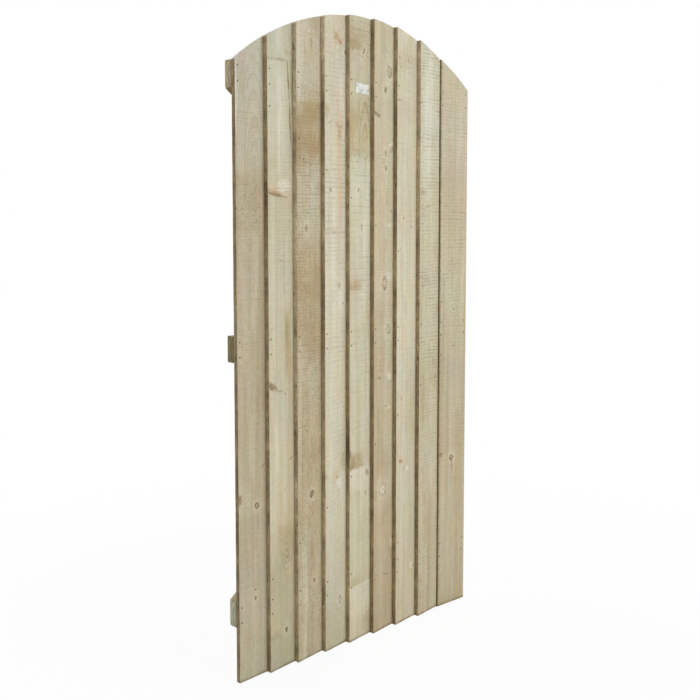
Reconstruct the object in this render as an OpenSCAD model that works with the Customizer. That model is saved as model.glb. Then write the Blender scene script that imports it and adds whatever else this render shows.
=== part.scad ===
// Arched garden gate leaf: lapped featheredge boards nailed to three rails and two braces.
// X runs across the leaf, Y from its boarded front to its back, Z upwards from its foot.

/* [Leaf] */
// Overall width
gate_w = 900; // [600:10:1200]
// Height to the top of the arch
gate_h = 1800; // [1300:10:2100]
// Height of the arch above the two upper corners
arch_rise = 164; // [60:1:260]

/* [Featheredge boards] */
// Width of one board
board_w = 125; // [100:1:175]
// Thickness of a board at its thick edge
thick_edge = 15; // [11:0.5:22]
// Thickness of a board at its feathered edge
thin_edge = 5; // [3:0.5:8]
// Least lap of one board over the one before
least_lap = 20; // [18:1:30]
// Clearance at the edges that a leaning board rests on
seat_gap = 0.1; // [0.05:0.05:0.3]

/* [Rails and braces] */
// Height of a rail's face
rail_h = 70; // [50:1:100]
// Depth of rails and braces, front to back
frame_d = 28; // [20:1:45]
// Width of a brace, measured square across it
brace_w = 70; // [50:1:100]
// Height of the bottom rail's underside above the foot
foot_h = 148; // [60:1:250]

/* [Nails] */
// Diameter of a nail's shank
shank_d = 2.6; // [2:0.1:3.5]
// Diameter of a nail's flat head
head_d = 5; // [4:0.1:7]
// Thickness of a nail's head
head_t = 1.2; // [0.8:0.1:2]
// Length of a nail's point
point_l = 3; // [2:0.1:5]
// Depth of a sunk head under the board's face
head_sink = 0.8; // [0.6:0.1:1.5]
// Distance of a row of nails from a board's thick edge
nail_edge = 10; // [8:0.5:12]
// Distance between the two nails of a pair on a rail
nail_pair = 40; // [20:1:44]
// Distance of a brace's end nails from the leaf's side
end_nail_in = 58; // [40:1:70]
// Wood left behind the point of the deepest nail
nail_cover = 3; // [2:0.5:6]
// Clearance all round a nail
nail_gap = 0.05; // [0.02:0.01:0.1]

/* [Hidden] */
$fn = 48;
arch_sides = 360;
overrun = 20;

// Hand-laid unevenness: how far each board lies off even spacing, as shares of the spacing
lay_shares = [0, 0, -0.01, 0.025, -0.035, -0.035, -0.075, -0.05];

board_count = ceil((gate_w - board_w) / (board_w - least_lap)) + 1;
last = board_count - 1;
spacing = (gate_w - board_w) / last;
taper = atan((thick_edge - thin_edge) / board_w);

// Left edge of board k, counted from 0
function lay_x(k) =
    (k + (k < last ? lay_shares[k % len(lay_shares)] : 0)) * spacing - gate_w / 2;

// The closing board is turned round, with its feathered edge on the left
function left_edge(k) = k < last ? thick_edge : thin_edge;
function right_edge(k) = k < last ? thin_edge : thick_edge;

// The first board lies flat on the rails and every other one leans on the board before it
function foot_gap(k) = k == 0 ? 0 : seat_gap;
function lean_for(k, lift) = asin((lift - foot_gap(k)) / board_w);
function tilt_for(k, lift) = lean_for(k, lift) + (k < last ? taper : -taper);

// Height of board k's face above the rails at x, when its left edge is lifted by lift
function face_for(k, lift, x) =
    let (lean = lean_for(k, lift))
    let (run = x - lay_x(k) - left_edge(k) * sin(lean))
    lift + left_edge(k) * cos(lean) - run * tan(tilt_for(k, lift));

function next_lift(k, lift) = face_for(k, lift, lay_x(k + 1)) + seat_gap;
lifts = [for (k = 0, lift = 0; k < board_count; lift = next_lift(k, lift), k = k + 1) lift];
leans = [for (k = [0 : last]) lean_for(k, lifts[k])];

// The leaf is centred front to back, so the rails' front face lies a little off the middle
clad_d = max([for (k = [0 : last]) lifts[k] + left_edge(k) * cos(leans[k])]);
rail_face_y = (clad_d - frame_d) / 2;
leaf_d = clad_d + frame_d;

// Arch through the two upper corners and the crown
spring_h = gate_h - arch_rise;
arch_r = (pow(gate_w / 2, 2) + pow(arch_rise, 2)) / (2 * arch_rise);
arch_z = gate_h - arch_r;

// Underside of each rail: the top one ends at the arch's corners, the middle one halfway
bottom_z = foot_h;
top_z = spring_h - rail_h;
middle_z = (bottom_z + top_z) / 2;

// Level cut of a brace that fits from side to side between two rails
brace_rise = middle_z - bottom_z - rail_h;
steep = pow(brace_rise / brace_w, 2) - 1;
brace_cut = (sqrt(pow(gate_w, 2) + steep * (pow(gate_w, 2) + pow(brace_rise, 2))) - gate_w) / steep;
brace_run = gate_w - brace_cut;
brace_slope = brace_rise / brace_run;

// Nail rows: one by each board's left edge, and one that closes the last board's right edge
rows = concat([for (k = [0 : last]) lay_x(k) + nail_edge], [gate_w / 2 - nail_edge]);
brace_end = gate_w / 2 - end_nail_in;

// Nails as [x, z] sites, by the timber that they hold
function rail_sites(z) =
    [for (x = rows, side = [-1, 1]) [x, z + rail_h / 2 + side * nail_pair / 2]];
// A brace climbs to the right from z, or falls to the right where climb is -1, with its nails
// along its middle and one more in the wedge at each end
function brace_sites(z, climb) =
    let (wedge = end_nail_in * brace_slope / 2)
    concat(
        [[-climb * brace_end, z + wedge], [climb * brace_end, z + brace_rise - wedge]],
        [for (k = [1 : last]) [rows[k], z + brace_rise / 2 + climb * brace_slope * rows[k]]]
    );
bottom_sites = rail_sites(bottom_z);
middle_sites = rail_sites(middle_z);
top_sites = rail_sites(top_z);
lower_sites = brace_sites(bottom_z + rail_h, 1);
upper_sites = brace_sites(middle_z + rail_h, -1);
sites = concat(bottom_sites, middle_sites, top_sites, lower_sites, upper_sites);

// Height of a nail's head above the rails, on the uppermost board at x
function top_board(x) = max([for (k = [0 : last]) if (lay_x(k) < x) k]);
function head_h(x) =
    let (k = top_board(x))
    face_for(k, lifts[k], x) - head_sink;
nail_l = min([for (site = sites) head_h(site[0])]) + frame_d - nail_cover;

board_colour = [0.80, 0.74, 0.60];
frame_colour = [0.74, 0.66, 0.50];
nail_colour = [0.42, 0.41, 0.39];

BOARDS = [for (k = [0 : last]) str("board_", k + 1)];
FRAME = ["top_rail", "middle_rail", "bottom_rail", "upper_brace", "lower_brace"];
NAILS = [for (name = FRAME) str(name, "_nails")];

// One nail along Z with its head's face at zero; grow makes the hole that it fills
module nail_form(grow) {
    head_top = grow > 0 ? -overrun : 0;
    shank_r = shank_d / 2 + grow;
    rotate_extrude()
        polygon([
            [0, head_top],
            [head_d / 2 + grow, head_top],
            [head_d / 2 + grow, head_t + grow],
            [shank_r, head_t + grow],
            [shank_r, nail_l - point_l + grow],
            [0, nail_l + grow]
        ]);
}

module nails_at(group, grow = 0) {
    for (site = group)
        translate([site[0], rail_face_y - head_h(site[0]), site[1]])
            rotate([-90, 0, 0])
                nail_form(grow);
}

// All that lies over the arch
module arch_waste() {
    difference() {
        translate([-arch_r, -leaf_d, arch_z])
            cube([2 * arch_r, 2 * leaf_d, arch_r + 2 * overrun]);
        translate([0, 0, arch_z])
            rotate([90, 0, 0])
                cylinder(r = arch_r, h = 3 * leaf_d, center = true, $fn = arch_sides);
    }
}

module board(k) {
    touching = [
        for (site = sites)
            if (abs(site[0] - lay_x(k) - board_w / 2) < board_w / 2 + head_d) site
    ];
    color(board_colour)
        difference() {
            linear_extrude(height = gate_h + overrun)
                translate([lay_x(k), rail_face_y - lifts[k]])
                    rotate(leans[k])
                        polygon([
                            [0, 0],
                            [board_w, 0],
                            [board_w, -right_edge(k)],
                            [0, -left_edge(k)]
                        ]);
            arch_waste();
            // The closing board is sawn off plumb with the ends of the rails
            translate([gate_w / 2, -leaf_d, -overrun])
                cube([board_w, 2 * leaf_d, gate_h + 3 * overrun]);
            nails_at(touching, nail_gap);
        }
}

module rail(z, group) {
    color(frame_colour)
        difference() {
            translate([-gate_w / 2, rail_face_y, z])
                cube([gate_w, frame_d, rail_h]);
            nails_at(group, nail_gap);
        }
}

module brace(z, climb, group) {
    outer_foot = -climb * gate_w / 2;
    inner_foot = outer_foot + climb * brace_cut;
    color(frame_colour)
        difference() {
            translate([0, rail_face_y + frame_d, z])
                rotate([90, 0, 0])
                    linear_extrude(height = frame_d)
                        polygon([
                            [outer_foot, 0],
                            [inner_foot, 0],
                            [-outer_foot, brace_rise],
                            [-inner_foot, brace_rise]
                        ]);
            nails_at(group, nail_gap);
        }
}

module top_rail() {
    rail(top_z, top_sites);
}

module middle_rail() {
    rail(middle_z, middle_sites);
}

module bottom_rail() {
    rail(bottom_z, bottom_sites);
}

module upper_brace() {
    brace(middle_z + rail_h, -1, upper_sites);
}

module lower_brace() {
    brace(bottom_z + rail_h, 1, lower_sites);
}

module nail_set(group) {
    color(nail_colour)
        nails_at(group);
}

for (k = [0 : last])
    board(k);
top_rail();
middle_rail();
bottom_rail();
upper_brace();
lower_brace();
nail_set(top_sites);  // top_rail_nails
nail_set(middle_sites);  // middle_rail_nails
nail_set(bottom_sites);  // bottom_rail_nails
nail_set(upper_sites);  // upper_brace_nails
nail_set(lower_sites);  // lower_brace_nails
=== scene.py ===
import bmesh
import bpy
import math
from mathutils import Matrix, Vector, noise


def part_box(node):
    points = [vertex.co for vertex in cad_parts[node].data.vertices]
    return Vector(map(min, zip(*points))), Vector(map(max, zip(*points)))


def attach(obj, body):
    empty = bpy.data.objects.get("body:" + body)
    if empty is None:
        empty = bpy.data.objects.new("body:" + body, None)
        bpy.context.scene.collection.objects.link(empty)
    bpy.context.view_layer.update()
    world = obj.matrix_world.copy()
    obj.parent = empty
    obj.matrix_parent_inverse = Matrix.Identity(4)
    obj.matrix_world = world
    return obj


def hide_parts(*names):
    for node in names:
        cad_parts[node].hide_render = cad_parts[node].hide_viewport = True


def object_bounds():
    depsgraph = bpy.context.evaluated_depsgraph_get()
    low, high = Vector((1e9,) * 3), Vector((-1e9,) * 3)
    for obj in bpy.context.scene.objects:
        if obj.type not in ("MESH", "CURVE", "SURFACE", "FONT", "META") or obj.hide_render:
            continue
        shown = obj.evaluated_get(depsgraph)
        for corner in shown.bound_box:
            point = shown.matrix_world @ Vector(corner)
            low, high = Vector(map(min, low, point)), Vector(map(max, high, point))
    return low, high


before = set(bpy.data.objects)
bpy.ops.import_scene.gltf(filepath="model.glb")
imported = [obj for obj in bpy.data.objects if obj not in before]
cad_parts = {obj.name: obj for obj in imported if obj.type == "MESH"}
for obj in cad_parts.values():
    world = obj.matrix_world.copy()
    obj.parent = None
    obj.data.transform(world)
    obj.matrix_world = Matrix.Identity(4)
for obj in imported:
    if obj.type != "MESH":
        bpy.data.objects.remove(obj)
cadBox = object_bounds()
crown = cadBox[1].z
scene = bpy.context.scene
scene.view_settings.view_transform = "Standard"
print("frame loaded,", len(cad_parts), "nodes")


def tone(red, green, blue):  # a colour as seen, 0 to 255, to the linear values a shader takes
    shares = (red / 255, green / 255, blue / 255)
    linear = [c / 12.92 if c <= 0.04045 else ((c + 0.055) / 1.055) ** 2.4 for c in shares]
    return (*linear, 1.0)


def shaded(shade, share):  # a darker or lighter kind of a colour
    return [min(1.0, c * share) for c in shade[:3]] + [1]


# node helpers, shared by materials and groups
class NodeSheet:
    def __init__(self, tree):
        self.tree = tree

    def add(self, kind, **settings):
        made = self.tree.nodes.new("ShaderNode" + kind)
        for name, value in settings.items():
            setattr(made, name, value)
        return made

    def feed(self, socket, value):
        if isinstance(value, bpy.types.NodeSocket):
            self.tree.links.new(value, socket)
        else:
            socket.default_value = value

    def fill(self, made, values):  # feeds a node's sockets in their order
        for socket, value in zip(made.inputs, values):
            self.feed(socket, value)
        return made.outputs[0]

    def math(self, operation, *values):
        return self.fill(self.add("Math", operation=operation), values)

    def vector(self, operation, *values):
        return self.fill(self.add("VectorMath", operation=operation), values)

    def hypot(self, first, second):
        squares = self.math("ADD", self.math("POWER", first, 2.0), self.math("POWER", second, 2.0))
        return self.math("SQRT", squares)

    def split(self, vector):
        made = self.add("SeparateXYZ")
        self.feed(made.inputs[0], vector)
        return made.outputs

    def noise(self, vector, stretch, detail=2.0, rough=0.5):
        made = self.add("TexNoise")
        self.feed(made.inputs["Vector"], self.vector("MULTIPLY", vector, stretch))
        self.feed(made.inputs["Scale"], 1.0)
        self.feed(made.inputs["Detail"], detail)
        self.feed(made.inputs["Roughness"], rough)
        return made.outputs[0]

    def wander(self, vector, stretch, detail=2.0, rough=0.5):  # the same noise, about zero
        return self.math("SUBTRACT", self.noise(vector, stretch, detail, rough), 0.5)

    def span(self, value, low, high, start=0.0, end=1.0):  # smooth step from start to end
        made = self.add("MapRange", interpolation_type="SMOOTHSTEP")
        return self.fill(made, (value, low, high, start, end))

    def mix(self, factor, first, second, blend="MIX"):
        made = self.add("Mix", data_type="RGBA", blend_type=blend)
        for index, value in ((0, factor), (6, first), (7, second)):
            self.feed(made.inputs[index], value)
        return made.outputs[2]

    def tint(self, colour, field, low, high, amount, shade):  # a shade that grows from low to high
        return self.mix(self.span(field, low, high, 0.0, amount), colour, shade)

    def ramp(self, factor, stops):
        made = self.add("ValToRGB")
        self.feed(made.inputs[0], factor)
        bar = made.color_ramp.elements
        while len(bar) < len(stops):
            bar.new(0.5)
        for element, (position, colour) in zip(bar, stops):
            element.position = position
            element.color = colour
        return made.outputs[0]

    def shadeUp(self, colour, spot, sway, reach, shades):  # shades by height, with swaying borders
        _, _, z = self.split(spot)
        height = self.math("MULTIPLY_ADD", sway, reach, self.math("SUBTRACT", z, reach / 2))
        stops = [(level / crown, shade) for level, shade in shades]
        return self.mix(1.0, colour, self.ramp(self.math("DIVIDE", height, crown), stops), "MULTIPLY")

    def group(self, tree, **values):
        made = self.add("Group", node_tree=tree)
        for name, value in values.items():
            self.feed(made.inputs[name], value)
        return made.outputs

    def spot(self, shift, turn=(0, 0, 0)):  # object coordinates, moved and turned to suit one timber
        made = self.add("Mapping")
        self.feed(made.inputs["Vector"], self.add("TexCoord").outputs["Object"])
        self.feed(made.inputs["Location"], shift)
        self.feed(made.inputs["Rotation"], turn)
        return made.outputs[0]

    def seen(self):  # one for a ray from the eye, straight or by way of gloss or glass
        path = self.add("LightPath").outputs
        straight = self.math("MAXIMUM", path["Is Camera Ray"], path["Is Glossy Ray"])
        return self.math("MAXIMUM", straight, path["Is Transmission Ray"])

    def blend(self, factor, first, second):  # two shaders
        return self.fill(self.add("MixShader"), (factor, first, second))


def newGroup(name, inputs, outputs):
    tree = bpy.data.node_groups.new(name, "ShaderNodeTree")
    for label, start in inputs.items():
        kind = "NodeSocketVector" if label == "Vector" else "NodeSocketFloat"
        socket = tree.interface.new_socket(name=label, in_out="INPUT", socket_type=kind)
        if start is not None:
            socket.default_value = start
    for label in outputs:
        tree.interface.new_socket(name=label, in_out="OUTPUT", socket_type="NodeSocketFloat")
    given = tree.nodes.new("NodeGroupInput").outputs
    return tree, NodeSheet(tree), given, tree.nodes.new("NodeGroupOutput").inputs


def newMaterial(name, roughness=0.85, specular=0.25):
    material = bpy.data.materials.new(name)
    material.use_nodes = True
    shader = material.node_tree.nodes["Principled BSDF"]
    shader.inputs["Roughness"].default_value = roughness
    shader.inputs["Specular IOR Level"].default_value = specular
    return material, NodeSheet(material.node_tree), shader


def bumpOn(sheet, shader, height, strength, depth):
    bump = sheet.add("Bump")
    sheet.feed(bump.inputs["Height"], height)
    bump.inputs["Strength"].default_value = strength
    bump.inputs["Distance"].default_value = depth
    sheet.feed(shader.inputs["Normal"], bump.outputs[0])


# growth rings cut lengthwise, fibres, streaks and blotches; Z runs along the timber
def makeGrainGroup():
    inputs = dict(Vector=None, Bulge=0.0, PithX=0.06, PithDepth=0.03, Lean=0.02, Warp=0.02,
                  Spacing=0.005, Count=99)
    outputs = ["Rings", "Fibre", "Streak", "Drift", "Blotch", "Fuzz", "Warm", "Blush"]
    tree, sheet, given, out = newGroup("lengthGrain", inputs, outputs)
    spot = given["Vector"]
    x, _, z = sheet.split(spot)
    drift = sheet.noise(spot, (6, 6, 2.2), 3.0)
    across = sheet.math("SUBTRACT", x, given["PithX"])
    across = sheet.math("MULTIPLY_ADD", sheet.wander(spot, (11, 11, 4.5)), 0.016, across)
    deep = sheet.math("MULTIPLY_ADD", given["Lean"], z, given["PithDepth"])
    deep = sheet.math("MAXIMUM", deep, 0.0)  # past the tips of their arches the rings run straight
    deep = sheet.math("MULTIPLY_ADD", sheet.math("SUBTRACT", drift, 0.5), given["Warp"], deep)
    deep = sheet.math("ADD", deep, given["Bulge"])
    turns = sheet.math("DIVIDE", sheet.hypot(across, deep), given["Spacing"])
    rings = sheet.math("FRACT", turns)
    late = sheet.math("MULTIPLY", sheet.math("POWER", rings, 2.0), sheet.span(rings, 1.0, 0.85))
    few = sheet.span(turns, sheet.math("ADD", given["Count"], 1.0), given["Count"])
    sheet.feed(out["Rings"], sheet.math("MULTIPLY", late, few))
    sheet.feed(out["Fibre"], sheet.noise(spot, (520, 520, 9), 3.0, 0.65))
    sheet.feed(out["Streak"], sheet.noise(spot, (60, 60, 1.8), 4.0, 0.6))
    sheet.feed(out["Drift"], drift)
    sheet.feed(out["Blotch"], sheet.noise(spot, (26, 26, 13), 4.0, 0.6))
    sheet.feed(out["Fuzz"], sheet.noise(spot, (210, 210, 95), 3.0, 0.7))
    apart = sheet.vector("ADD", spot, (3.7, 1.9, 8.3))
    sheet.feed(out["Warm"], sheet.wander(apart, (26, 26, 8), 3.0, 0.6))
    apart = sheet.vector("ADD", spot, (7.1, 5.3, 2.7))
    sheet.feed(out["Blush"], sheet.wander(apart, (30, 30, 11), 3.0, 0.6))
    return tree


# unevenness that the knots and stains of one timber share
def makeRagGroup():
    outputs = ["Knot", "Gaps", "Mottle", "Stain", "Cloud"]
    tree, sheet, given, out = newGroup("unevenness", dict(Vector=None), outputs)
    spot = given["Vector"]
    fine = sheet.wander(spot, (170, 170, 120), 3.0, 0.65)
    sheet.feed(out["Knot"], sheet.math("MULTIPLY_ADD", fine, 1.3, sheet.wander(spot, (62, 62, 55))))
    sheet.feed(out["Gaps"], sheet.span(sheet.noise(spot, (90, 90, 70)), 0.3, 0.52, 0.25, 1.0))
    sheet.feed(out["Mottle"], sheet.span(sheet.noise(spot, (260, 260, 190)), 0.32, 0.6, 0.55, 1.0))
    broad = sheet.wander(spot, (17, 17, 7), 3.0, 0.6)
    finger = sheet.wander(spot, (150, 150, 3), 3.0, 0.7)
    sheet.feed(out["Stain"], sheet.math("MULTIPLY_ADD", finger, 0.7, broad))
    cloud = sheet.noise(spot, (28, 28, 16), 3.0, 0.6)
    sheet.feed(out["Cloud"], sheet.span(cloud, 0.3, 0.62, 0.45, 1.0))
    return tree


# one knot or mark: its heart, its dark rim, the wood drawn round it and how far it pushes the rings aside
def makeKnotGroup():
    inputs = dict(Vector=None, Rag=0.0, Gaps=1.0, Mottle=1.0, X=0.06, Z=0.5, Radius=0.01,
                  Stretch=1.4, Turn=0.0)
    tree, sheet, given, out = newGroup("knot", inputs, ["Heart", "Rim", "Halo", "Bulge"])
    _, y, _ = sheet.split(given["Vector"])
    middle = sheet.fill(sheet.add("CombineXYZ"), (given["X"], y, given["Z"]))
    turned = sheet.add("VectorRotate", rotation_type="Y_AXIS")
    for name, value in (("Vector", given["Vector"]), ("Center", middle), ("Angle", given["Turn"])):
        sheet.feed(turned.inputs[name], value)
    x, _, z = sheet.split(turned.outputs[0])
    across = sheet.math("DIVIDE", sheet.math("SUBTRACT", x, given["X"]), given["Radius"])
    tall = sheet.math("MULTIPLY", given["Radius"], given["Stretch"])
    along = sheet.math("DIVIDE", sheet.math("SUBTRACT", z, given["Z"]), tall)
    away = sheet.math("ADD", sheet.hypot(across, along), given["Rag"])
    sheet.feed(out["Heart"], sheet.math("MULTIPLY", sheet.span(away, 1.15, 0.5), given["Mottle"]))
    rim = sheet.math("ABSOLUTE", sheet.math("SUBTRACT", away, 0.95))
    sheet.feed(out["Rim"], sheet.math("MULTIPLY", sheet.span(rim, 0.5, 0.1), given["Gaps"]))
    halo = sheet.span(away, 4.5, 0.8)
    sheet.feed(out["Halo"], halo)
    sheet.feed(out["Bulge"], sheet.math("MULTIPLY", halo, sheet.math("MULTIPLY", given["Radius"], 1.5)))
    return tree


# marks across the board from the saw; Second makes every other one fainter, Foot and Head those at its ends
def makeSawGroup():
    inputs = dict(Vector=None, Spacing=0.009, Slant=0.0, Second=0.0, Foot=1.0, Head=1.0)
    tree, sheet, given, out = newGroup("sawMarks", inputs, ["Marks"])
    x, _, z = sheet.split(given["Vector"])
    level = sheet.math("MULTIPLY_ADD", x, given["Slant"], z)
    turns = sheet.math("DIVIDE", level, given["Spacing"])
    uneven = sheet.noise(given["Vector"], (5, 5, 16), 2.0)
    turns = sheet.math("MULTIPLY_ADD", uneven, 2.2, turns)
    wave = sheet.math("SINE", sheet.math("MULTIPLY", turns, math.tau))
    line = sheet.math("POWER", sheet.math("MULTIPLY_ADD", wave, 0.5, 0.5), 1.8)
    other = sheet.math("SINE", sheet.math("MULTIPLY", turns, math.pi))
    other = sheet.math("MULTIPLY_ADD", other, 0.5, -0.5)
    line = sheet.math("MULTIPLY", line, sheet.math("MULTIPLY_ADD", other, given["Second"], 1.0))
    line = sheet.math("MULTIPLY", line, sheet.span(z, 0.3, 1.0, given["Foot"], 1.0))
    line = sheet.math("MULTIPLY", line, sheet.span(z, 1.4, 1.65, 1.0, given["Head"]))
    broken = sheet.span(sheet.noise(given["Vector"], (34, 34, 100), 3.0, 0.7), 0.36, 0.65, 0.1, 1.0)
    patchy = sheet.span(sheet.noise(given["Vector"], (7, 7, 9), 2.0), 0.32, 0.62, 0.2, 1.0)
    sheet.feed(out["Marks"], sheet.math("MULTIPLY", line, sheet.math("MULTIPLY", broken, patchy)))
    return tree


# a stain between two heights, its ends drawn out along the grain; it dies away at its reach
def makeStainGroup():
    inputs = dict(Vector=None, Edge=0.0, Cloud=1.0, Low=0.2, High=0.4, Rag=0.04, Soft=0.01, Fade=0.01,
                  Reach=0.2)
    tree, sheet, given, out = newGroup("stainBand", inputs, ["Mask"])
    x, _, z = sheet.split(given["Vector"])
    level = sheet.math("MULTIPLY_ADD", given["Edge"], given["Rag"], z)
    foot = sheet.span(level, sheet.math("SUBTRACT", given["Low"], given["Soft"]), given["Low"])
    head = sheet.span(level, sheet.math("ADD", given["High"], given["Fade"]), given["High"])
    near = sheet.math("MULTIPLY_ADD", given["Edge"], 0.03, x)
    near = sheet.span(near, given["Reach"], sheet.math("MULTIPLY", given["Reach"], 0.45))
    mask = sheet.math("MULTIPLY", sheet.math("MULTIPLY", foot, head), near)
    sheet.feed(out["Mask"], sheet.math("MULTIPLY", mask, given["Cloud"]))
    return tree


# a streak along the grain: heartwood, resin or a pale line
def makeStripeGroup():
    inputs = dict(Vector=None, X=0.06, Width=0.01, Low=0.2, High=0.6)
    tree, sheet, given, out = newGroup("lengthStreak", inputs, ["Mask"])
    x, _, z = sheet.split(given["Vector"])
    sway = sheet.wander(given["Vector"], (3, 3, 6))
    away = sheet.math("SUBTRACT", sheet.math("MULTIPLY_ADD", sway, 0.022, x), given["X"])
    side = sheet.span(sheet.math("ABSOLUTE", away), given["Width"], 0.0)
    ends = sheet.math("MULTIPLY", sheet.span(z, given["Low"], sheet.math("ADD", given["Low"], 0.08)),
                      sheet.span(z, given["High"], sheet.math("SUBTRACT", given["High"], 0.08)))
    lines = sheet.span(sheet.noise(given["Vector"], (240, 240, 6), 2.0), 0.25, 0.62)
    sheet.feed(out["Mask"], sheet.math("MULTIPLY", sheet.math("MULTIPLY", side, ends), lines))
    return tree


# small dark flecks: short dashes along the fibres, and grit
def makeFleckGroup():
    tree, sheet, given, out = newGroup("flecks", dict(Vector=None), ["Dash", "Grit"])
    dash = sheet.span(sheet.noise(given["Vector"], (420, 420, 70), 2.0), 0.64, 0.78)
    patchy = sheet.span(sheet.noise(given["Vector"], (14, 14, 9), 2.0), 0.42, 0.7)
    sheet.feed(out["Dash"], sheet.math("MULTIPLY", dash, patchy))
    sheet.feed(out["Grit"], sheet.span(sheet.noise(given["Vector"], (230, 230, 190), 2.0), 0.58, 0.7))
    return tree


grainGroup = makeGrainGroup()
ragGroup = makeRagGroup()
knotGroup = makeKnotGroup()
sawGroup = makeSawGroup()
stainGroup = makeStainGroup()
stripeGroup = makeStripeGroup()
fleckGroup = makeFleckGroup()
print("node groups ready")

stainTones = dict(
    brown=tone(169, 146, 105), olive=tone(178, 166, 126), pale=tone(222, 218, 200), pink=tone(206, 184, 157),
    rust=tone(154, 116, 82), umber=tone(130, 105, 74), dark=tone(108, 92, 66), green=tone(192, 192, 160),
    dirt=tone(148, 134, 106), grey=tone(200, 197, 182),
)
hueDrift = dict(Red=(0.2, -0.07), Green=(0.0, 0.11), Blue=(-0.27, -0.07))
# what all sawn faces share: strengths of marks, sway of shades, and heights that the bump takes up
sawnFace = dict(
    wholeWidth=0.2, halo=0.25, dash=0.45, stainInCuts=0.35, sway=0.06,
    fibreHeight=0.35, fuzzHeight=0.5, ringHeight=0.2, bump=0.55, bumpDepth=0.0012,
)


# knots and marks of one timber, and how far the knots push its rings aside
def findKnots(sheet, spot, rag, rows):
    knots = []
    bulge = 0.0
    for x, z, radius, stretch, turn, shade, heart, rim in rows:
        made = sheet.group(knotGroup, Vector=spot, Rag=rag["Knot"], Gaps=rag["Gaps"], Mottle=rag["Mottle"],
                           X=x, Z=z, Radius=radius, Stretch=stretch, Turn=math.radians(turn))
        knots.append((made, stainTones[shade], heart, rim))
        if rim:  # a mark without a rim lies on the wood and leaves its grain alone
            bulge = sheet.math("ADD", bulge, made["Bulge"])
    return knots, bulge


# where a band between two heights shows
def bandMask(sheet, spot, rag, low, high, ragged, soft, fade, reach=sawnFace["wholeWidth"]):
    made = sheet.group(stainGroup, Vector=spot, Edge=rag["Stain"], Cloud=rag["Cloud"], Low=low, High=high,
                       Rag=ragged, Soft=soft, Fade=fade, Reach=reach)
    return made["Mask"]


# clean wood: streaks from deep to pale, green and tan clouds, blotches, and dark between the fibres
def bareWood(sheet, grain, look):
    deep = look["deep"]
    green = stainTones["green"]
    colour = sheet.ramp(grain["Streak"], [(0.25, deep), (0.5, look["mid"]), (0.75, look["pale"])])
    colour = sheet.tint(colour, grain["Drift"], 0.45, 0.75, look["green"], green)
    colour = sheet.tint(colour, grain["Drift"], 0.52, 0.25, look["tan"], deep)
    colour = sheet.tint(colour, grain["Blotch"], 0.5, 0.72, look["blotch"], green)
    colour = sheet.tint(colour, grain["Blotch"], 0.5, 0.28, look["blotch"], deep)
    return sheet.tint(colour, grain["Fibre"], 0.7, 0.3, look["fibre"], deep)


# bands of stain, and how far the brown ones cover the wood
def layStains(sheet, spot, rag, grain, rows, colour):
    stained = 0.0
    for low, high, ragged, soft, fade, reach, shade, amount in rows:
        mask = bandMask(sheet, spot, rag, low, high, ragged, soft, fade, reach)
        worn = sheet.math("MULTIPLY", mask, sheet.span(grain["Fibre"], 0.2, 0.7, amount, amount * 0.7))
        colour = sheet.mix(worn, colour, stainTones[shade])
        if shade in ("brown", "olive"):
            stained = sheet.math("MAXIMUM", stained, worn)
    return colour, stained


# growth rings, then grit, then lengthwise streaks
def layGrain(sheet, spot, rag, grain, grit, look, colour):
    low, high, inside, outside = look["rings"]
    mask = bandMask(sheet, spot, rag, low, high, 0.1, 0.12, 0.12)
    shown = sheet.span(mask, 0.0, 1.0, outside, inside)
    colour = sheet.mix(sheet.math("MULTIPLY", grain["Rings"], shown), colour, look["ringTone"])
    for low, high, amount in look["grit"]:
        mask = bandMask(sheet, spot, rag, low, high, 0.05, 0.03, 0.03)
        worn = sheet.math("MULTIPLY", mask, sheet.math("MULTIPLY", grit, amount))
        colour = sheet.mix(worn, colour, stainTones["dark"])
    for x, width, low, high, shade, amount in look["streaks"]:
        mask = sheet.group(stripeGroup, Vector=spot, X=x, Width=width, Low=low, High=high)["Mask"]
        colour = sheet.mix(sheet.math("MULTIPLY", mask, amount), colour, stainTones[shade])
    return colour


# slow changes of hue over the face, and of shade and warmth up its height
def driftHue(sheet, spot, grain, run, colour):
    drift = sheet.add("CombineColor")
    for channel, (warmShare, blushShare) in hueDrift.items():
        share = sheet.math("MULTIPLY_ADD", grain["Warm"], warmShare, 1.0)
        sheet.feed(drift.inputs[channel], sheet.math("MULTIPLY_ADD", grain["Blush"], blushShare, share))
    colour = sheet.mix(1.0, colour, drift.outputs[0], "MULTIPLY")
    shades = [(z, (level * (1 + warmth), level, level * (1 - warmth), 1)) for z, level, warmth in run]
    if shades:
        colour = sheet.shadeUp(colour, spot, grain["Drift"], sawnFace["sway"], shades)
    return colour


# hearts and rims of the knots, with paler wood drawn round them
def layKnots(sheet, knots, colour, stained):
    for made, shade, heart, rim in knots:
        if rim:
            halo = sheet.math("SUBTRACT", made["Halo"], made["Heart"])
            colour = sheet.mix(sheet.math("MULTIPLY", halo, sawnFace["halo"]), colour, stainTones["pale"])
        worn = sheet.math("MULTIPLY", made["Heart"], heart)
        colour = sheet.mix(worn, colour, shade)
        stained = sheet.math("MAXIMUM", stained, worn)
        if rim:
            colour = sheet.mix(sheet.math("MULTIPLY", made["Rim"], rim), colour, stainTones["dark"])
    return colour, stained


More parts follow.
